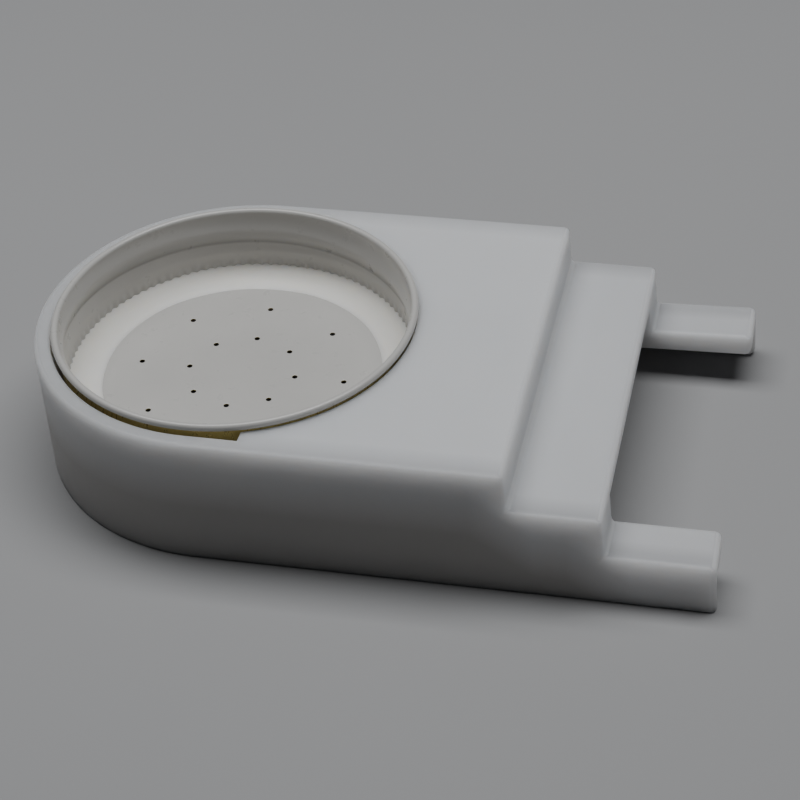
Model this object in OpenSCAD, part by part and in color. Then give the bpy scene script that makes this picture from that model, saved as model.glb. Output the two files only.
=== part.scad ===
// Hive entrance feeder: a one-piece moulded base with a perforated steel jar
// cap lying mouth up in its round opening. A jar screws down into the cap, and
// the shelf and prongs slide into the hive entrance.
// Millimetres, +Z up, +X towards the hive. The origin is the centre of the
// footprint, on the plane the base stands on.

/* [Overall] */
// Length over everything, from the round end to the prong tips
overall_l = 139; // [134:1:160]
// Width across the straight sides
width = 80; // [80:0.5:84]

/* [Body] */
// Length of the tall body that holds the cap
body_l = 100.4; // [96:0.2:104]
// Height of the tall body
body_h = 27.8; // [26:0.1:32]
// Thickness of the side walls
wall = 3.2; // [2.4:0.1:3.2]
// Thickness of the top plate
top_t = 3.1; // [2:0.1:4]

/* [Shelf] */
// Length of the lower shelf beyond the body
shelf_l = 17.9; // [12:0.1:20]
// Height of the shelf
shelf_h = 19.4; // [17:0.1:22]
// Thickness of the shelf plate
shelf_t = 3.1; // [2:0.1:4]
// Thickness of the end wall beside the bee passage
end_t = 3; // [2:0.1:4]

/* [Prongs] */
// Width of each prong
prong_w = 11.4; // [9:0.1:14]
// Height of the prongs
prong_h = 10.7; // [9:0.1:12]
// Thickness of the prong's flat top
flange_t = 4.2; // [3:0.1:5]
// Thickness of the prong's outer leg
leg_t = 2.8; // [2.2:0.1:3.2]

/* [Round opening] */
// Radius of the round opening in the top plate
hole_r = 35.7; // [35.7:0.1:36]
// Distance past the jar axis at which the top plate begins
plate_x = 10.2; // [4:0.2:14]

/* [Cap seat] */
// Thickness of each seat rib
rib_t = 2.4; // [1.6:0.2:3]
// Radius at the inner end of the ribs on the round wall
rib_r = 31; // [28:0.5:33]
// Distance past the jar axis of the two cross ribs
cross_x = 24; // [20:1:26]
// Distance of the cross ribs' inner ends from the centre line
cross_y = 22; // [18:0.5:23]
// Gap between the ribs' tops and the cap
seat_gap = 0.15; // [0.1:0.05:0.3]

/* [Cap] */
// Inside radius of the cap's skirt
cap_r = 34.8; // [34.5:0.1:34.8]
// Thickness of the cap's sheet steel
sheet = 0.25; // [0.2:0.05:0.25]
// Height of the cap from its flat outside to the top of its rolled rim
cap_h = 15.6; // [14.8:0.1:16]
// Height of the rolled rim above the top plate
proud = 1.75; // [1.7:0.05:2.2]
// Radius of the rolled rim's section
bead_r = 0.75; // [0.6:0.05:0.8]
// Radius at the middle of the rolled rim
bead_mid_r = 35.45; // [35.3:0.05:35.5]
// Radius of each feed hole
feed_r = 0.55; // [0.4:0.05:1]
// Radius of the inner circle of feed holes
ring_in_r = 11; // [8:0.5:13]
// Radius of the outer circle of feed holes
ring_out_r = 21.1; // [18:0.1:24]
// Feed holes on each circle
ring_n = 8; // [4:1:12]
// How far the cap lies off the opening's centre, along the length
cap_dx = -0.27; // [-0.3:0.01:0.1]
// How far the cap lies off the opening's centre, across the width
cap_dy = -0.1; // [-0.15:0.01:0.15]
// Turn of the feed holes about the jar axis, in degrees
cap_turn = -1; // [-20:1:20]

/* [Sealing ring] */
// Inside radius of the sealing ring
liner_r = 28.2; // [26:0.1:30]
// Thickness of the sealing ring over the cap's flat
liner_t = 0.55; // [0.4:0.05:0.9]

/* [Hidden] */
eps = 1;
base_r = width / 2;
in_r = base_r - wall;
jar_x = base_r - overall_l / 2;
x_body = body_l - base_r;
x_shelf = x_body + shelf_l;
x_tip = overall_l - base_r;
in_prong = base_r - prong_w;
cap_z = body_h + proud - cap_h;
seat_z = cap_z - seat_gap;
cap_at = [jar_x + cap_dx, cap_dy, cap_z];
rib_angles = [90, 135, 180, 225, 270];
// the skirt's inside leans in below this height, where the sealing ring sits
foot_h = 1.5;

// Round-ended outline: a full half circle about the jar axis and a straight
// length that ends square at x_end.
module round_end(r, x_end) {
    circle(r = r, $fn = 160);
    translate([0, -r]) square([x_end, 2 * r]);
}

// Radial rib standing in from the round wall
module wall_rib(a) {
    rotate([0, 0, a])
        translate([rib_r, -rib_t / 2, 0])
            cube([in_r + wall / 2 - rib_r, rib_t, seat_z]);
}

// Rib standing in square from a straight side wall
module cross_rib(side) {
    translate([cross_x - rib_t / 2, side > 0 ? cross_y : -in_r - wall / 2, 0])
        cube([rib_t, in_r + wall / 2 - cross_y, seat_z]);
}

module base_solid() {
    linear_extrude(body_h) round_end(base_r, x_body);
    translate([x_body - eps, -base_r, 0])
        cube([shelf_l + eps, width, shelf_h]);
    for (y = [-base_r, in_prong])
        translate([x_shelf - eps, y, 0])
            cube([x_tip - x_shelf + eps, prong_w, prong_h]);
}

module base_hollow() {
    // under the top plate
    translate([0, 0, -eps])
        linear_extrude(body_h - top_t + eps) round_end(in_r, x_body - wall);
    // under the shelf
    translate([x_body - wall - eps, -in_r, -eps])
        cube([shelf_l + wall - end_t + eps, 2 * in_r, shelf_h - shelf_t + eps]);
    // under the flat tops of the prongs
    translate([x_shelf - end_t - eps / 2, leg_t - base_r, -eps])
        cube([x_tip - x_shelf + end_t + 2 * eps, width - 2 * leg_t, prong_h - flange_t + eps]);
    // bee passage through the end wall and between the prongs
    translate([x_shelf - end_t - eps, -in_prong, -eps])
        cube([x_tip - x_shelf + end_t + 2 * eps, 2 * in_prong, shelf_h - shelf_t + eps]);
    // round opening, with the whole width of the round end open up to the plate
    translate([0, 0, body_h - top_t - eps]) {
        cylinder(r = hole_r, h = top_t + 2 * eps, $fn = 160);
        linear_extrude(top_t + 2 * eps) round_end(in_r, plate_x);
    }
}

module base_moulding() {
    color([0.88, 0.885, 0.89])
        translate([jar_x, 0, 0]) {
            difference() {
                base_solid();
                base_hollow();
            }
            for (a = rib_angles) wall_rib(a);
            for (s = [-1, 1]) cross_rib(s);
        }
}

// Section of the cap, drawn from its axis out and up the skirt
module cap_section() {
    lip_z = cap_h - bead_r;
    polygon([
        [0, 0], [cap_r - 0.6, 0], [cap_r + sheet, 0.6 + sheet],
        [cap_r + sheet, lip_z], [cap_r, lip_z], [cap_r, foot_h + sheet],
        [cap_r - 0.15, 0.7 + sheet], [cap_r - 0.7, sheet], [0, sheet]
    ]);
    translate([bead_mid_r, lip_z]) circle(r = bead_r, $fn = 32);
}

module feed_ring(r) {
    for (i = [0 : ring_n - 1])
        rotate([0, 0, cap_turn + i * 360 / ring_n])
            translate([r, 0, -eps]) cylinder(r = feed_r, h = sheet + 2 * eps, $fn = 24);
}

module jar_cap() {
    color([0.80, 0.79, 0.76])
        translate(cap_at)
            difference() {
                rotate_extrude($fn = 160) cap_section();
                feed_ring(ring_in_r);
                feed_ring(ring_out_r);
            }
}

// Soft ring flowed into the corner of the cap
module sealing_ring() {
    color([0.90, 0.88, 0.83])
        translate(cap_at)
            rotate_extrude($fn = 160)
                polygon([
                    [liner_r, sheet], [cap_r - 0.7, sheet], [cap_r - 0.15, 0.7 + sheet],
                    [cap_r, foot_h + sheet], [cap_r - 0.6, liner_t + 0.5 + sheet],
                    [cap_r - 2.2, liner_t + 0.1 + sheet], [liner_r + 0.7, liner_t + sheet],
                    [liner_r + 0.15, liner_t - 0.15 + sheet]
                ]);
}

base_moulding();
jar_cap();
sealing_ring();
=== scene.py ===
import math

import bmesh
import bpy
import numpy as np
from mathutils import Matrix, Vector
from mathutils.geometry import delaunay_2d_cdt


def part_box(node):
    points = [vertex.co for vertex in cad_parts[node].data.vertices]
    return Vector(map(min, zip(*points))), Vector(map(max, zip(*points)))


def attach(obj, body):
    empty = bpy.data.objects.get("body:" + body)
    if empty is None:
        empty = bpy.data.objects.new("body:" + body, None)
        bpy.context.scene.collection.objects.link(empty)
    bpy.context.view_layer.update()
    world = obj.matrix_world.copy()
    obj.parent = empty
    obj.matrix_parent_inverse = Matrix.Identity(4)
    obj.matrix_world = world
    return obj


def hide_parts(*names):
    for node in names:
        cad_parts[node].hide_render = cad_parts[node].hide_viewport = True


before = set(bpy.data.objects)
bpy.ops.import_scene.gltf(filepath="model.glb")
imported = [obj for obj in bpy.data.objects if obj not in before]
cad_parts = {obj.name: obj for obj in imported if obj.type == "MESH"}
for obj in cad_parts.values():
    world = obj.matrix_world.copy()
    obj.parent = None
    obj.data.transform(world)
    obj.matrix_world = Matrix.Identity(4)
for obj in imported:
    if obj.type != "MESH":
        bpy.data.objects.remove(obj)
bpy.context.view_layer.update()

MM = 0.001

# ---------------------------------------------------------------- sizes (mm)
# The same numbers as the CAD model, measured from the jar's axis.
base_lo, base_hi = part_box("base_moulding")
cap_lo, cap_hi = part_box("jar_cap")
R = (base_hi.y - base_lo.y) / 2 / MM
JAR_X = base_lo.x / MM + R
H = base_hi.z / MM
X_TIP = (base_hi.x - base_lo.x) / MM - R
X_BODY = 100.4 - R
X_SHELF = X_BODY + 17.9
H_SHELF = 19.4
H_PRONG = 10.7
WALL = 3.2
TOP_T = 3.1
SHELF_T = 3.1
END_T = 3.0
PRONG_W = 11.4
FLANGE_T = 4.2
LEG_T = 2.8
HOLE_R = 35.7
PLATE_X = 10.2
RIB_T = 2.4
RIB_R = 31.0
CROSS_X = 24.0
CROSS_Y = 22.0
CAP_Z = cap_lo.z / MM
SEAT_Z = CAP_Z - 0.15
SHEET = 0.25
CAP_R = 34.8
CAP_H = (cap_hi.z - cap_lo.z) / MM
BEAD_R = 0.75
BEAD_MID = 35.45
FEED_R = 0.55
RINGS = (11.0, 21.1)
CAP_TURN = -1.0
LINER_R = 28.0
# The cap lies a little off the opening's centre.
CAP_X = (cap_lo.x + cap_hi.x) / 2 / MM
CAP_Y = (cap_lo.y + cap_hi.y) / 2 / MM
CAP_MID_X = CAP_X - JAR_X


def scene_link(o):
    bpy.context.scene.collection.objects.link(o)
    return o


def from_pydata(name, verts, faces, smooth=True):
    me = bpy.data.meshes.new(name)
    me.from_pydata([tuple(v) for v in verts], [], [tuple(f) for f in faces])
    me.validate()
    me.update()
    if smooth:
        me.polygons.foreach_set("use_smooth", [True] * len(me.polygons))
    o = bpy.data.objects.new(name, me)
    return scene_link(o)


def baked(o):
    """Applies o's modifiers to its mesh."""
    bpy.context.view_layer.update()
    dg = bpy.context.evaluated_depsgraph_get()
    me = bpy.data.meshes.new_from_object(o.evaluated_get(dg), preserve_all_data_layers=True, depsgraph=dg)
    o.modifiers.clear()
    old = o.data
    o.data = me
    bpy.data.meshes.remove(old)
    return o


# ---------------------------------------------------------------- base moulding
def prism(name, outline, z0, z1):
    n = len(outline)
    verts = [(x, y, z0) for x, y in outline] + [(x, y, z1) for x, y in outline]
    faces = [tuple(reversed(range(n))), tuple(range(n, 2 * n))]
    faces += [(i, (i + 1) % n, n + (i + 1) % n, n + i) for i in range(n)]
    return from_pydata(name, verts, faces, smooth=False)


def rect(x0, x1, y0, y1):
    return [(x0, y0), (x1, y0), (x1, y1), (x0, y1)]


def arc(r, a0, a1, n):
    return [
        (r * math.cos(math.radians(a0 + (a1 - a0) * i / n)), r * math.sin(math.radians(a0 + (a1 - a0) * i / n)))
        for i in range(n + 1)
    ]


def round_end(r, x_end, n=72):
    return [(x_end, -r), (x_end, r)] + arc(r, 90, 270, n)


def boolean(target, tools, operation):
    for t in tools:
        m = target.modifiers.new("b", "BOOLEAN")
        m.operation = operation
        m.solver = "EXACT"
        m.object = t
        baked(target)
        bpy.data.objects.remove(t)
    return target


def tidy(o, angle=0.2):
    bm = bmesh.new()
    bm.from_mesh(o.data)
    bmesh.ops.remove_doubles(bm, verts=bm.verts, dist=0.002)
    bmesh.ops.dissolve_limit(
        bm, angle_limit=math.radians(angle), verts=bm.verts, edges=bm.edges, use_dissolve_boundaries=False
    )
    bmesh.ops.recalc_face_normals(bm, faces=bm.faces)
    bm.to_mesh(o.data)
    bm.free()
    return o


def make_base():
    in_r = R - WALL
    # Outer staircase, drawn as one closed solid from its plan and its steps.
    body = prism("base", round_end(R, X_BODY), 0, H)
    shelf = prism("t", rect(X_BODY - 9, X_SHELF, -R, R), 0, H_SHELF)
    prongs = [
        prism("t", rect(X_SHELF - 9, X_TIP, -R, -R + PRONG_W), 0, H_PRONG),
        prism("t", rect(X_SHELF - 9, X_TIP, R - PRONG_W, R), 0, H_PRONG),
    ]
    boolean(body, [shelf] + prongs, "UNION")
    tidy(body)
    cuts = [
        prism("t", round_end(in_r, X_BODY - WALL), -5, H - TOP_T),
        prism("t", rect(X_BODY - WALL - 4, X_SHELF - END_T, -in_r, in_r), -5, H_SHELF - SHELF_T),
        prism("t", rect(X_SHELF - END_T - 3, X_TIP + 5, -R + PRONG_W, R - PRONG_W), -5, H_SHELF - SHELF_T),
        prism("t", rect(X_SHELF - END_T - 0.5, X_TIP + 5, -R + LEG_T, R - LEG_T), -5, H_PRONG - FLANGE_T),
    ]
    a0 = math.degrees(math.asin(PLATE_X / HOLE_R))
    hole = [(PLATE_X, -in_r)] + arc(HOLE_R, -90 + a0, 90 - a0, 60) + [(PLATE_X, in_r)] + arc(in_r, 90, 270, 72)
    cuts.append(prism("t", hole, H - TOP_T - 4, H + 5))
    boolean(body, cuts, "DIFFERENCE")
    ribs = []
    for a in (90, 135, 180, 225, 270):
        rib = prism("t", rect(RIB_R, in_r + WALL / 2, -RIB_T / 2, RIB_T / 2), 0, SEAT_Z)
        rib.data.transform(Matrix.Rotation(math.radians(a), 4, "Z"))
        ribs.append(rib)
    for s in (-1, 1):
        ys = sorted((s * CROSS_Y, s * (in_r + WALL / 2)))
        ribs.append(prism("t", rect(CROSS_X - RIB_T / 2, CROSS_X + RIB_T / 2, *ys), 0, SEAT_Z))
    boolean(body, ribs, "UNION")
    tidy(body)
    # Ejector marks: shallow round prints under the plates
    marks = []
    for x, y, z in ((45, 22, H - TOP_T), (45, -22, H - TOP_T), (45, 0, H - TOP_T), (68, 24, H_SHELF - SHELF_T), (68, -24, H_SHELF - SHELF_T), (68, 0, H_SHELF - SHELF_T)):
        m = prism("t", [(x + p, y + q) for p, q in arc(3.0, 0, 352.5, 47)], z - 3, z + 0.25)
        marks.append(m)
    boolean(body, marks, "DIFFERENCE")
    tidy(body)
    # The mould's draft: each end face leans back a little towards its top.
    for v in body.data.vertices:
        x, _, z = v.co
        if abs(x - X_BODY) < 0.01 and z > H_SHELF:
            v.co.x -= 0.30 * (z - H_SHELF) / (H - H_SHELF)
        elif abs(x - X_SHELF) < 0.01 and z > H_PRONG:
            v.co.x -= 0.45 * (z - H_PRONG) / (H_SHELF - H_PRONG)
        elif abs(x - X_TIP) < 0.01:
            v.co.x -= 0.35 * z / H_PRONG
            # the left prong has sprung up a little at its tip
            v.co.z += 0.65 if v.co.y > 0 else 0.0
    return body


def near(a, b, tol=0.5):
    return abs(a - b) < tol


def edge_radius(e):
    """Fillet radius of a sharp edge of the base, by where the edge is."""
    f1, f2 = e.link_faces
    if f1.normal.dot(f2.normal) > 0.8:
        return 0.0
    mid = (e.verts[0].co + e.verts[1].co) / 2
    x, y, z = mid
    r = math.hypot(x, y)
    out = R - max(abs(y), r if x < 0 else 0)
    vertical = abs(e.verts[0].co.z - e.verts[1].co.z) > 0.5 * e.calc_length()
    convex = e.is_convex
    if z < 0.01:
        return 0.5 if out < 0.01 or near(x, X_TIP) else 0.25
    if near(x, X_SHELF - END_T, 1.0) and z < H_PRONG - FLANGE_T + 0.01 and out > WALL - 0.6:
        return 0.0
    if (abs(z - (H - TOP_T + 0.25)) < 0.26 and abs(x - 45) < 4) or (abs(z - (H_SHELF - SHELF_T + 0.25)) < 0.26 and abs(x - 68) < 4):
        return 0.0
    if z > H - 0.01:
        if out < 0.01 or near(x, X_BODY):
            return 1.15
        return 0.4
    if out < 0.01 or near(x, X_TIP):
        if not convex:
            return 0.7
        return 1.3 if vertical or near(z, H_PRONG, 0.7) else 1.05
    if near(z, H_SHELF, 0.01) and near(x, X_SHELF, 0.7):
        return 1.05
    if near(z, H_SHELF, 0.01) and near(x, X_BODY, 0.7):
        return 1.25
    if near(x, X_SHELF, 0.7) and abs(abs(y) - (R - PRONG_W)) < 0.3:
        return 0.6
    if near(z, H_PRONG, 0.7) and x > X_SHELF - 1:
        return 1.3 if convex else 1.1
    if near(z, H_SHELF - SHELF_T, 0.01) and near(x, X_SHELF, 0.7):
        return 0.6
    if near(z, H_PRONG - FLANGE_T, 0.01):
        return 0.5
    return 0.3


def fillet(o, segments=3):
    bm = bmesh.new()
    bm.from_mesh(o.data)
    bm.normal_update()
    layer = bm.edges.layers.float.get("bevel_weight_edge") or bm.edges.layers.float.new("bevel_weight_edge")
    top = 1.5
    for e in bm.edges:
        if len(e.link_faces) == 2:
            e[layer] = min(1.0, edge_radius(e) / top)
    bm.to_mesh(o.data)
    bm.free()
    m = o.modifiers.new("fillet", "BEVEL")
    m.limit_method = "WEIGHT"
    m.width = top
    m.offset_type = "OFFSET"
    m.segments = segments
    m.profile = 0.5
    m.use_clamp_overlap = False
    m.miter_outer = "MITER_SHARP"
    m.loop_slide = True
    baked(o)
    return o


base = make_base()
fillet(base)
bm = bmesh.new()
bm.from_mesh(base.data)
bmesh.ops.remove_doubles(bm, verts=bm.verts, dist=0.004)
bmesh.ops.dissolve_degenerate(bm, edges=bm.edges, dist=0.002)
open_edges = sum(1 for e in bm.edges if len(e.link_faces) != 2)
print("base: verts", len(bm.verts), "faces", len(bm.faces), "open or odd edges", open_edges)
bm.to_mesh(base.data)
bm.free()
base.data.polygons.foreach_set("use_smooth", [True] * len(base.data.polygons))
wn = base.modifiers.new("normals", "WEIGHTED_NORMAL")
wn.mode = "FACE_AREA"
wn.weight = 90
wn.keep_sharp = False
baked(base)
for v in base.data.vertices:
    v.co.z = max(v.co.z, 0.0)
base.data.transform(Matrix.Scale(MM, 4) @ Matrix.Translation((JAR_X, 0, 0)))
base.name = "base_shell"
base.data.name = "base_shell"


# ---------------------------------------------------------------- jar cap
N_RIB = 110
SUB = 8
N = N_RIB * SUB
COARSE = 4
PITCH = 6.35


def smooth(t):
    t = np.clip(t, 0, 1)
    return t * t * (3 - 2 * t)


def skirt_offset(theta_deg, z):
    """Radial offset of the skirt's sheet at an angle and a height: the rolled thread, the knurl and a little unevenness."""
    t = np.asarray(theta_deg, float)
    # thread: one right-hand turn and a little more, with soft ends; its upper
    # flank is gentle and its lower flank runs down to a firm edge
    total = np.zeros_like(t)
    for turn in (-1, 0, 1):
        s = (t - 105.0) + 360.0 * turn
        crest = H - 3.2 + s / 360.0 * PITCH
        env = smooth((s + 150) / 35) * smooth((170 - s) / 60)
        d = z - crest
        up = np.exp(-((np.maximum(d, 0) / 1.8) ** 2))
        low = np.clip(1 - (np.clip(-d, 0, 9) / 2.9) ** 1.8, 0, 1)
        total -= 0.75 * env * np.where(d > 0, up, low)
    # knurl: upright ribs pressed in at the foot of the skirt
    k = 0.5 + 0.5 * np.cos(np.radians(t * N_RIB))
    env = smooth((CAP_Z + 4.0 - z) / 1.7) * smooth((z - (CAP_Z + 0.75)) / 0.5)
    total -= 0.30 * env * k ** 1.3
    # a shallow waist above the knurl
    total -= 0.10 * np.exp(-(((z - (CAP_Z + 5.3)) / 1.0) ** 2))
    return total


def make_cap():
    z_lip = CAP_Z + CAP_H - BEAD_R
    inner, outer = [], []  # (r, z, weight of the skirt's offset, row is enamel)
    # inside, from the flat out and up to the rim
    for a in np.linspace(0, 90, 6):
        rr, cx, cz = 0.75, CAP_R - 0.75, CAP_Z + SHEET + 0.75
        inner.append((cx + rr * math.sin(math.radians(a)), cz - rr * math.cos(math.radians(a)), 0.0))
    for z in list(np.arange(CAP_Z + SHEET + 0.95, CAP_Z + 5.0, 0.22)) + list(np.arange(CAP_Z + 5.1, z_lip - 0.9, 0.3)):
        inner.append((CAP_R, z, 1.0))
    inner.append((CAP_R - 0.02, z_lip - 0.55, 0.6))
    inner.append((CAP_R - 0.05, z_lip - 0.28, 0.0))
    bead = []
    for a in np.linspace(180, -118, 19):
        bead.append((BEAD_MID + BEAD_R * math.cos(math.radians(a)), z_lip + BEAD_R * math.sin(math.radians(a)), 0.0))
    out_r = CAP_R + SHEET
    outer.append((out_r + 0.01, z_lip - 0.72, 0.2))
    outer.append((out_r, z_lip - 0.95, 0.7))
    for z in np.arange(z_lip - 1.2, CAP_Z + SHEET + 0.9, -0.3):
        outer.append((out_r, z, 1.0))
    for a in np.linspace(90, 0, 6):
        rr, cx, cz = 1.0, out_r - 1.0, CAP_Z + 1.0
        outer.append((cx + rr * math.sin(math.radians(a)), cz - rr * math.cos(math.radians(a)), 0.0))
    rows = inner + bead + outer
    theta = np.arange(N) * 360.0 / N
    verts, faces, mats = [], [], []
    for r, z, w in rows:
        rad = r + w * skirt_offset(theta, z)
        c, s = np.cos(np.radians(theta)), np.sin(np.radians(theta))
        verts.append(np.stack([rad * c, rad * s, np.full(N, z)], 1))
    n_in, n_bead = len(inner), len(bead)
    for i in range(len(rows) - 1):
        gold = i >= n_in + n_bead - 4
        for j in range(N):
            k = (j + 1) % N
            faces.append((i * N + j, i * N + k, (i + 1) * N + k, (i + 1) * N + j))
            mats.append(1 if gold else 0)
    base_index = len(rows) * N
    verts = [np.concatenate(verts)]
    # coarser rings from the corner in to the flat, inside and outside
    M = N // COARSE
    ct = np.arange(M) * 360.0 / M
    # (radius, lift over the flat)
    rings = [(32.8, 0.0), (30.6, 0.0), (28.6, 0.0), (26.6, 0.0)]
    start = {}
    for side, z0, row in (("in", CAP_Z + SHEET, 0), ("out", CAP_Z, len(rows) - 1)):
        start[side] = base_index
        for r, lift in rings:
            verts.append(np.stack([r * np.cos(np.radians(ct)), r * np.sin(np.radians(ct)), np.full(M, z0 + lift)], 1))
        gold = side == "out"
        for j in range(M):
            fine = [row * N + (j * COARSE + q) % N for q in range(COARSE + 1)]
            coarse = [base_index + (j + 1) % M, base_index + j]
            f = fine + coarse
            faces.append(tuple(reversed(f)) if side == "in" else tuple(f))
            mats.append(1 if gold else 0)
        for i in range(len(rings) - 1):
            for j in range(M):
                k = (j + 1) % M
                a, b = base_index + i * M, base_index + (i + 1) * M
                f = (a + j, a + k, b + k, b + j)
                faces.append(tuple(reversed(f)) if side == "in" else f)
                mats.append(1 if gold else 0)
        base_index += len(rings) * M
    # the perforated flat
    hole_n = 24
    patch = [(0.55, -0.10), (0.60, -0.085), (0.72, -0.05), (0.92, -0.018), (1.3, 0.0)]
    centres = [
        (rr * math.cos(math.radians(a)), rr * math.sin(math.radians(a)))
        for rr in RINGS
        for a in CAP_TURN + np.arange(8) * 45.0
    ]
    lift = rings[-1][1]
    pts = [Vector((rings[-1][0] * math.cos(math.radians(a)), rings[-1][0] * math.sin(math.radians(a)))) for a in ct]
    edges = [(i, (i + 1) % M) for i in range(M)]
    hole_index = []
    for cx, cy in centres:
        first = len(pts)
        hole_index.append(first)
        for q in range(hole_n):
            a = 2 * math.pi * q / hole_n
            pts.append(Vector((cx + patch[-1][0] * math.cos(a), cy + patch[-1][0] * math.sin(a))))
        edges += [(first + q, first + (q + 1) % hole_n) for q in range(hole_n)]
    # a polar field of points keeps the triangles even
    n_fixed = len(pts)
    for rr, count in ((24.6, 72), (18.0, 48), (15.6, 40), (13.6, 36), (8.2, 24), (5.2, 16), (2.4, 8)):
        for q in range(count):
            a = 2 * math.pi * (q + 0.5) / count
            p = Vector((rr * math.cos(a), rr * math.sin(a)))
            if all((p - Vector(c)).length > 2.0 for c in centres):
                pts.append(p)
    out = delaunay_2d_cdt(pts, edges, [], 0, 1e-5)
    vs, fs, orig = out[0], out[2], out[3]
    index = {}
    for new, olds in enumerate(orig):
        for o in olds:
            index[o] = new
    tris = []
    for f in fs:
        c = sum((vs[i] for i in f), Vector((0, 0))) / len(f)
        if any(all((vs[i] - Vector(p)).length < patch[-1][0] * 1.001 for i in f) for p in centres):
            continue
        if c.length > rings[-1][0]:
            continue
        tris.append(f)
    back = {new: olds[0] for new, olds in enumerate(orig) if olds}
    local = {}
    for side, z0 in (("in", CAP_Z + SHEET + lift), ("out", CAP_Z + lift)):
        gold = side == "out"
        ring0 = start[side] + (len(rings) - 1) * M
        ids = {}
        extra = []
        for new, v in enumerate(vs):
            old = back.get(new)
            if old is not None and old < M:
                ids[new] = ring0 + old
            else:
                ids[new] = base_index + len(extra)
                extra.append((v.x, v.y, z0))
        verts.append(np.array(extra))
        base_index += len(extra)
        for f in tris:
            g = tuple(ids[i] for i in f)
            faces.append(g if side == "in" else tuple(reversed(g)))
            mats.append(1 if gold else 0)
        # dimpled rings round each hole
        lips = []
        for h, (cx, cy) in enumerate(centres):
            previous = [ids[index[hole_index[h] + q]] for q in range(hole_n)]
            for rr, dz in reversed(patch[:-1]):
                ring = []
                co = []
                for q in range(hole_n):
                    a = 2 * math.pi * q / hole_n
                    ring.append(base_index + q)
                    co.append((cx + rr * math.cos(a), cy + rr * math.sin(a), z0 + dz))
                verts.append(np.array(co))
                base_index += hole_n
                for q in range(hole_n):
                    k = (q + 1) % hole_n
                    f = (previous[q], previous[k], ring[k], ring[q])
                    faces.append(f if side == "in" else tuple(reversed(f)))
                    mats.append(1 if gold else 0)
                previous = ring
            lips.append(previous)
        local[side] = lips
    for a_ring, b_ring in zip(local["in"], local["out"]):
        for q in range(hole_n):
            k = (q + 1) % hole_n
            faces.append((a_ring[q], a_ring[k], b_ring[k], b_ring[q]))
            mats.append(1)
    o = from_pydata("jar_cap_shell", np.concatenate(verts), faces)
    bm = bmesh.new()
    bm.from_mesh(o.data)
    odd = sum(1 for e in bm.edges if len(e.link_faces) != 2)
    bmesh.ops.recalc_face_normals(bm, faces=bm.faces)
    print("cap: verts", len(bm.verts), "faces", len(bm.faces), "odd edges", odd, "mats", len(mats), len(o.data.polygons))
    bm.to_mesh(o.data)
    bm.free()
    o.data.transform(Matrix.Scale(MM, 4) @ Matrix.Translation((CAP_X, CAP_Y, 0)))
    return o, mats


cap, CAP_MATS = make_cap()


# ---------------------------------------------------------------- sealing ring
def make_ring():
    z0 = CAP_Z + SHEET
    n = 240
    prof = [
        (LINER_R - 0.1, -0.06), (LINER_R + 0.1, 0.02), (LINER_R + 0.4, 0.13), (LINER_R + 0.8, 0.27), (LINER_R + 1.4, 0.40),
        (LINER_R + 2.2, 0.50), (LINER_R + 3.2, 0.58), (32.2, 0.72), (32.8, 0.88), (33.3, 1.06),
        (33.75, 1.27), (34.1, 1.45), (34.4, 1.62), (34.65, 1.76), (34.86, 1.86), (34.86, 0.75), (34.5, 0.2), (34.0, -0.06),
    ]
    t = np.arange(n) * 2 * np.pi / n
    # the compound flowed unevenly: thinner on one side, with a slightly wavering inner edge
    thick = 1.0 - 0.16 * (0.5 - 0.5 * np.cos(t - math.radians(60))) + 0.03 * np.sin(7 * t + 0.4)
    verts = []
    for i, (r, z) in enumerate(prof):
        wob = 0.12 * np.sin(3 * t + 0.7) + 0.07 * np.sin(5 * t + 2.1) + 0.04 * np.sin(11 * t)
        rr = r + wob * np.clip((31.0 - r) / 2.5, 0, 1)
        zz = z0 + (z * thick if z > 0 else z + 0 * t)
        verts.append(np.stack([rr * np.cos(t), rr * np.sin(t), zz], 1))
    faces = []
    m = len(prof)
    for i in range(m):
        k = (i + 1) % m
        for j in range(n):
            l = (j + 1) % n
            faces.append((i * n + j, i * n + l, k * n + l, k * n + j))
    o = from_pydata("seal_ring", np.concatenate(verts), faces)
    bm = bmesh.new()
    bm.from_mesh(o.data)
    bmesh.ops.recalc_face_normals(bm, faces=bm.faces)
    bm.to_mesh(o.data)
    bm.free()
    o.data.transform(Matrix.Scale(MM, 4) @ Matrix.Translation((CAP_X, CAP_Y, 0)))
    return o


ring = make_ring()


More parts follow.
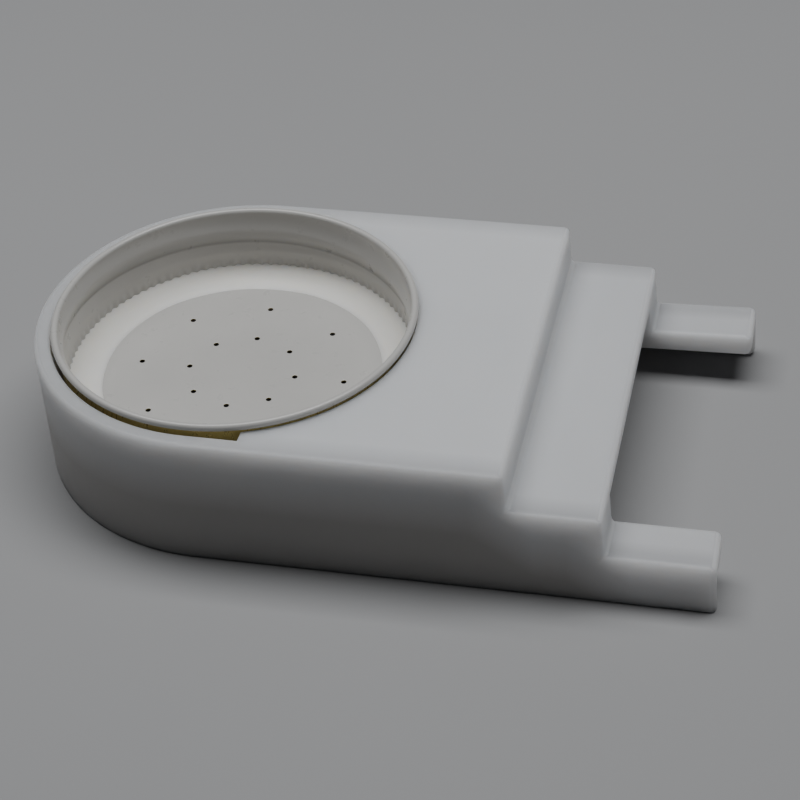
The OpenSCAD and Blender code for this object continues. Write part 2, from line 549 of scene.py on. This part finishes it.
# ---------------------------------------------------------------- materials
class Nodes:
    def __init__(self, name):
        self.mat = bpy.data.materials.new(name)
        self.mat.use_nodes = True
        self.t = self.mat.node_tree
        self.bsdf = next(n for n in self.t.nodes if n.type == "BSDF_PRINCIPLED")
        self.coord = self.t.nodes.new("ShaderNodeTexCoord")

    def link(self, a, b):
        self.t.links.new(a, b)

    def noise(self, scale, detail=4.0, rough=0.55, stretch=None, seed=(0, 0, 0), distortion=0.0):
        m = self.t.nodes.new("ShaderNodeMapping")
        self.link(self.coord.outputs["Object"], m.inputs["Vector"])
        m.inputs["Location"].default_value = seed
        m.inputs["Scale"].default_value = stretch or (1, 1, 1)
        n = self.t.nodes.new("ShaderNodeTexNoise")
        n.inputs["Scale"].default_value = scale
        n.inputs["Detail"].default_value = detail
        n.inputs["Roughness"].default_value = rough
        n.inputs["Distortion"].default_value = distortion
        self.link(m.outputs["Vector"], n.inputs["Vector"])
        return n.outputs["Fac"]

    def voronoi(self, scale, seed=(0, 0, 0), randomness=1.0):
        m = self.t.nodes.new("ShaderNodeMapping")
        self.link(self.coord.outputs["Object"], m.inputs["Vector"])
        m.inputs["Location"].default_value = seed
        n = self.t.nodes.new("ShaderNodeTexVoronoi")
        n.inputs["Scale"].default_value = scale
        n.inputs["Randomness"].default_value = randomness
        self.link(m.outputs["Vector"], n.inputs["Vector"])
        return n.outputs["Distance"]

    def remap(self, value, a, b, lo, hi):
        n = self.t.nodes.new("ShaderNodeMapRange")
        n.clamp = True
        n.inputs["From Min"].default_value = a
        n.inputs["From Max"].default_value = b
        n.inputs["To Min"].default_value = lo
        n.inputs["To Max"].default_value = hi
        self.link(value, n.inputs["Value"])
        return n.outputs["Result"]

    def mix(self, factor, a, b, blend="MIX"):
        n = self.t.nodes.new("ShaderNodeMix")
        n.data_type = "RGBA"
        n.blend_type = blend
        for value, sockets in ((factor, [0]), (a, [6]), (b, [7])):
            s = n.inputs[sockets[0]]
            if hasattr(value, "is_output"):
                self.link(value, s)
            else:
                s.default_value = value
        return n.outputs[2]

    def math(self, op, a, b=0.0):
        n = self.t.nodes.new("ShaderNodeMath")
        n.operation = op
        for value, s in ((a, n.inputs[0]), (b, n.inputs[1])):
            if hasattr(value, "is_output"):
                self.link(value, s)
            else:
                s.default_value = value
        return n.outputs[0]

    def bump(self, height, strength, distance, normal=None):
        n = self.t.nodes.new("ShaderNodeBump")
        n.inputs["Strength"].default_value = strength
        n.inputs["Distance"].default_value = distance
        self.link(height, n.inputs["Height"])
        if normal is not None:
            self.link(normal, n.inputs["Normal"])
        return n.outputs["Normal"]


def plastic():
    """Milky natural polyethylene: light spreads a few millimetres into it, and its skin is satin with faint flow marks."""
    m = Nodes("milky_polyethylene")
    cloud = m.noise(28, 3, 0.5, seed=(0.31, 0.12, 0))
    flow = m.noise(55, 5, 0.6, stretch=(0.35, 1.0, 1.0), seed=(2.1, 0.7, 0.3), distortion=0.6)
    dust = m.remap(m.voronoi(420, seed=(0.4, 0.9, 0.2)), 0.0, 0.06, 1.0, 0.0)
    a = m.mix(m.remap(cloud, 0.35, 0.65, 0, 1), (0.725, 0.732, 0.746, 1), (0.752, 0.758, 0.770, 1))
    b = m.mix(m.remap(flow, 0.45, 0.75, 0, 0.5), a, (0.738, 0.740, 0.748, 1))
    c = m.mix(m.math("MULTIPLY", dust, 0.22), b, (0.45, 0.44, 0.42, 1))
    # Painted shade: light leaks down through the wall, so the plate over it is painted duller, and the shelf and prongs
    # are painted a little duller too.
    sep = m.t.nodes.new("ShaderNodeSeparateXYZ")
    m.link(m.coord.outputs["Object"], sep.inputs[0])
    x, y, z = sep.outputs[0], sep.outputs[1], sep.outputs[2]
    sep_n = m.t.nodes.new("ShaderNodeSeparateXYZ")
    m.link(m.coord.outputs["Normal"], sep_n.inputs[0])
    upward = m.remap(sep_n.outputs[2], 0.35, 0.85, 0, 1)
    upright = m.remap(m.math("ABSOLUTE", sep_n.outputs[2]), 0.25, 0.75, 1, 0)
    dx = m.math("MINIMUM", m.math("SUBTRACT", x, JAR_X * MM), 0.0)
    dist = m.math("SQRT", m.math("ADD", m.math("MULTIPLY", dx, dx), m.math("MULTIPLY", y, y)))
    wall = m.remap(dist, (R - 5.5) * MM, (R - 1.0) * MM, 0, 1)
    prong = m.remap(x, (JAR_X + X_SHELF - 0.5) * MM, (JAR_X + X_SHELF + 1.5) * MM, 0, 1)
    shelf = m.remap(x, (JAR_X + X_BODY + 0.5) * MM, (JAR_X + X_BODY + 2.0) * MM, 0, 1)
    lower_step_shade = m.math("ADD", m.math("MULTIPLY", shelf, 0.30), m.math("MULTIPLY", prong, 0.22))
    painted_plate_shade = m.math("MULTIPLY", m.math("ADD", m.math("MULTIPLY", wall, 0.80), lower_step_shade), upward)
    c = m.mix(painted_plate_shade, c, (0.500, 0.505, 0.518, 1))
    # Painted light and shade: the same light leaves the upright faces below each edge, so they are painted paler just
    # below each edge and painted darker further down.
    step1 = m.remap(x, (JAR_X + X_BODY - 7.0) * MM, (JAR_X + X_BODY + 5.0) * MM, 0, (H - H_SHELF) * MM)
    step2 = m.remap(x, (JAR_X + X_SHELF - 7.0) * MM, (JAR_X + X_SHELF + 5.0) * MM, 0, (H_SHELF - H_PRONG) * MM)
    depth = m.math("SUBTRACT", m.math("SUBTRACT", H * MM, m.math("ADD", step1, step2)), z)
    c = m.mix(m.math("MULTIPLY", m.remap(depth, 3.0 * MM, 15.0 * MM, 0, 1), m.math("MULTIPLY", upright, 0.9)), c, (0.385, 0.372, 0.355, 1))
    c = m.mix(m.math("MULTIPLY", m.remap(depth, 0.0, 6.0 * MM, 1, 0), m.math("MULTIPLY", upright, 0.75)), c, (0.90, 0.90, 0.905, 1))
    # a painted highlight: a paler line painted along the rounded edges
    edge = m.math("MULTIPLY", m.remap(sep_n.outputs[2], 0.30, 0.60, 0, 1), m.remap(sep_n.outputs[2], 0.80, 0.97, 1, 0))
    c = m.mix(m.math("MULTIPLY", edge, 0.6), c, (0.95, 0.95, 0.955, 1))
    m.link(c, m.bsdf.inputs["Base Color"])
    r = m.remap(m.noise(260, 5, 0.6, seed=(0.8, 0.2, 0.1)), 0.3, 0.7, 0.37, 0.47)
    m.link(r, m.bsdf.inputs["Roughness"])
    n1 = m.bump(m.noise(120, 3, 0.5, seed=(5.0, 1.0, 2.0)), 0.10, 0.0006)
    n2 = m.bump(m.noise(1900, 3, 0.55), 0.10, 0.00008, n1)
    m.link(n2, m.bsdf.inputs["Normal"])
    m.bsdf.inputs["Subsurface Weight"].default_value = 1.0
    m.bsdf.inputs["Subsurface Radius"].default_value = (1.0, 0.94, 0.88)
    m.bsdf.inputs["Subsurface Scale"].default_value = 0.0095
    m.bsdf.inputs["IOR"].default_value = 1.50
    m.bsdf.inputs["Specular IOR Level"].default_value = 0.42
    return m.mat


def enamel():
    """Pale baked enamel on sheet steel: smooth, satin, with a fine orange-peel."""
    m = Nodes("pale_enamel")
    cloud = m.noise(45, 3, 0.5, seed=(1.1, 0.4, 0.9))
    a = m.mix(m.remap(cloud, 0.35, 0.65, 0, 1), (0.533, 0.524, 0.503, 1), (0.562, 0.552, 0.530, 1))
    specks = m.remap(m.voronoi(330, seed=(1.7, 0.3, 0.6)), 0.0, 0.05, 1.0, 0.0)
    b = m.mix(m.math("MULTIPLY", specks, 0.35), a, (0.30, 0.28, 0.24, 1))
    # painted shade: a dark line painted along the foot of the rolled thread, standing in for the shade under the thread
    sep = m.t.nodes.new("ShaderNodeSeparateXYZ")
    m.link(m.coord.outputs["Object"], sep.inputs[0])
    x = m.math("SUBTRACT", sep.outputs[0], (JAR_X + CAP_MID_X) * MM)
    y = m.math("SUBTRACT", sep.outputs[1], CAP_Y * MM)
    ca, sa = math.cos(math.radians(105)), math.sin(math.radians(105))
    along = m.math("ADD", m.math("MULTIPLY", x, ca), m.math("MULTIPLY", y, sa))
    across = m.math("SUBTRACT", m.math("MULTIPLY", y, ca), m.math("MULTIPLY", x, sa))
    around = m.math("ARCTAN2", across, along)
    turn = m.math("MULTIPLY", around, PITCH * MM / (2 * math.pi))
    d = m.math("SUBTRACT", m.math("SUBTRACT", sep.outputs[2], (H - 6.0) * MM), turn)
    thread_shade = m.math("MULTIPLY", m.remap(d, 0.0, 2.7 * MM, 1, 0), m.remap(d, -0.55 * MM, 0.0, 0, 1))
    rad = m.math("SQRT", m.math("ADD", m.math("MULTIPLY", x, x), m.math("MULTIPLY", y, y)))
    thread_shade = m.math("MULTIPLY", thread_shade, m.remap(rad, 32.6 * MM, 33.4 * MM, 0, 1))
    thread_shade = m.math("MULTIPLY", thread_shade, m.remap(m.math("ABSOLUTE", around), 1.2, 2.6, 1, 0))
    b = m.mix(m.math("MULTIPLY", thread_shade, 0.85), b, (0.215, 0.210, 0.200, 1))
    m.link(b, m.bsdf.inputs["Base Color"])
    m.link(m.remap(m.noise(300, 4, 0.6), 0.3, 0.7, 0.26, 0.36), m.bsdf.inputs["Roughness"])
    n1 = m.bump(m.noise(700, 2, 0.5, seed=(0.2, 0.1, 0.7)), 0.12, 0.00012)
    m.link(n1, m.bsdf.inputs["Normal"])
    m.bsdf.inputs["Coat Weight"].default_value = 0.25
    m.bsdf.inputs["Coat Roughness"].default_value = 0.18
    m.bsdf.inputs["IOR"].default_value = 1.5
    return m.mat


def gold():
    """Gold lacquer over tinplate."""
    m = Nodes("gold_lacquer")
    cloud = m.noise(60, 4, 0.55, seed=(0.6, 2.2, 0.1))
    a = m.mix(m.remap(cloud, 0.3, 0.7, 0, 1), (0.66, 0.54, 0.17, 1), (0.72, 0.60, 0.21, 1))
    grain = m.noise(420, 3, 0.6, stretch=(1, 12, 1), seed=(3.3, 0.1, 0.4))
    b = m.mix(m.remap(grain, 0.4, 0.7, 0, 0.35), a, (0.58, 0.46, 0.14, 1))
    m.link(b, m.bsdf.inputs["Base Color"])
    m.bsdf.inputs["Metallic"].default_value = 0.6
    m.link(m.remap(grain, 0.3, 0.7, 0.24, 0.38), m.bsdf.inputs["Roughness"])
    m.link(m.bump(grain, 0.08, 0.00006), m.bsdf.inputs["Normal"])
    m.bsdf.inputs["Coat Weight"].default_value = 0.4
    m.bsdf.inputs["Coat Roughness"].default_value = 0.15
    return m.mat


def plastisol():
    """Cream plastisol sealing compound, soft and satin."""
    m = Nodes("cream_plastisol")
    cloud = m.noise(70, 4, 0.55, seed=(0.3, 0.8, 1.9))
    a = m.mix(m.remap(cloud, 0.35, 0.65, 0, 1), (0.925, 0.885, 0.810, 1), (0.945, 0.910, 0.842, 1))
    m.link(a, m.bsdf.inputs["Base Color"])
    m.link(m.remap(m.noise(350, 4, 0.6), 0.3, 0.7, 0.38, 0.52), m.bsdf.inputs["Roughness"])
    n1 = m.bump(m.noise(240, 3, 0.5, seed=(1.2, 0.1, 0.7)), 0.18, 0.0003)
    m.link(n1, m.bsdf.inputs["Normal"])
    m.bsdf.inputs["Subsurface Weight"].default_value = 0.4
    m.bsdf.inputs["Subsurface Radius"].default_value = (1.0, 0.85, 0.65)
    m.bsdf.inputs["Subsurface Scale"].default_value = 0.0012
    return m.mat


def floor_paint():
    m = Nodes("floor_paint")
    cloud = m.noise(3, 3, 0.5)
    a = m.mix(m.remap(cloud, 0.35, 0.65, 0, 1), (0.365, 0.365, 0.369, 1), (0.380, 0.380, 0.384, 1))
    m.link(a, m.bsdf.inputs["Base Color"])
    m.link(m.remap(m.noise(40, 4, 0.6), 0.3, 0.7, 0.75, 0.85), m.bsdf.inputs["Roughness"])
    m.bsdf.inputs["Specular IOR Level"].default_value = 0.2
    return m.mat


base.data.materials.append(plastic())
cap.data.materials.append(enamel())
cap.data.materials.append(gold())
cap.data.polygons.foreach_set("material_index", CAP_MATS)
ring.data.materials.append(plastisol())

for piece, body, node, slot in (
    (base, "base", "base_moulding", "base_plastic"),
    (cap, "cap", "jar_cap", "cap_enamel"),
    (ring, "cap", "sealing_ring", "ring_plastisol"),
):
    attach(piece, body)
    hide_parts(node)

# ---------------------------------------------------------------- floor and light
floor = from_pydata("floor", [(-3, -3, 0), (3, -3, 0), (3, 3, 0), (-3, 3, 0)], [(0, 1, 2, 3)], smooth=False)
floor.data.materials.append(floor_paint())

world = bpy.data.worlds.new("studio")
bpy.context.scene.world = world
world.use_nodes = True
bg = world.node_tree.nodes.get("Background") or world.node_tree.nodes.new("ShaderNodeBackground")
bg.inputs["Color"].default_value = (0.93, 0.95, 1.0, 1)
bg.inputs["Strength"].default_value = 0.025


def area(name, location, target, size, power, colour=(1, 1, 1)):
    data = bpy.data.lights.new(name, "AREA")
    data.shape = "RECTANGLE"
    data.size, data.size_y = size
    data.energy = power
    data.color = colour
    o = scene_link(bpy.data.objects.new(name, data))
    o.location = location
    o.rotation_mode = "QUATERNION"
    o.rotation_quaternion = (Vector(target) - Vector(location)).to_track_quat("-Z", "Y")
    return o


area("key_overhead", (-0.03, 0.09, 0.66), (-0.03, 0.02, 0.0), (0.80, 0.30), 4.4, (0.98, 0.99, 1.0))

# ---------------------------------------------------------------- camera
az, el, roll = 0.2568, 0.675, -0.0696
back = Vector((math.sin(az) * math.cos(el), -math.cos(az) * math.cos(el), math.sin(el)))
right = Vector((math.cos(az), math.sin(az), 0))
up = back.cross(right)
cam_x = math.cos(roll) * right + math.sin(roll) * up
cam_y = -math.sin(roll) * right + math.cos(roll) * up
place = Vector((2.98121, -8.30925, 7.13721)) * (R * MM) + Vector((JAR_X * MM, 0, 0))
cam_data = bpy.data.cameras.new("camera")
cam_data.sensor_fit = "AUTO"
cam_data.sensor_width = 36.0
cam_data.lens = 2214.75 / 800 * 36.0
cam_data.clip_start = 0.01
cam_data.clip_end = 20
cam = scene_link(bpy.data.objects.new("camera", cam_data))
rot = Matrix((cam_x, cam_y, back)).transposed()
cam.matrix_world = Matrix.Translation(place) @ rot.to_4x4()
bpy.context.scene.camera = cam

bpy.context.view_layer.update()
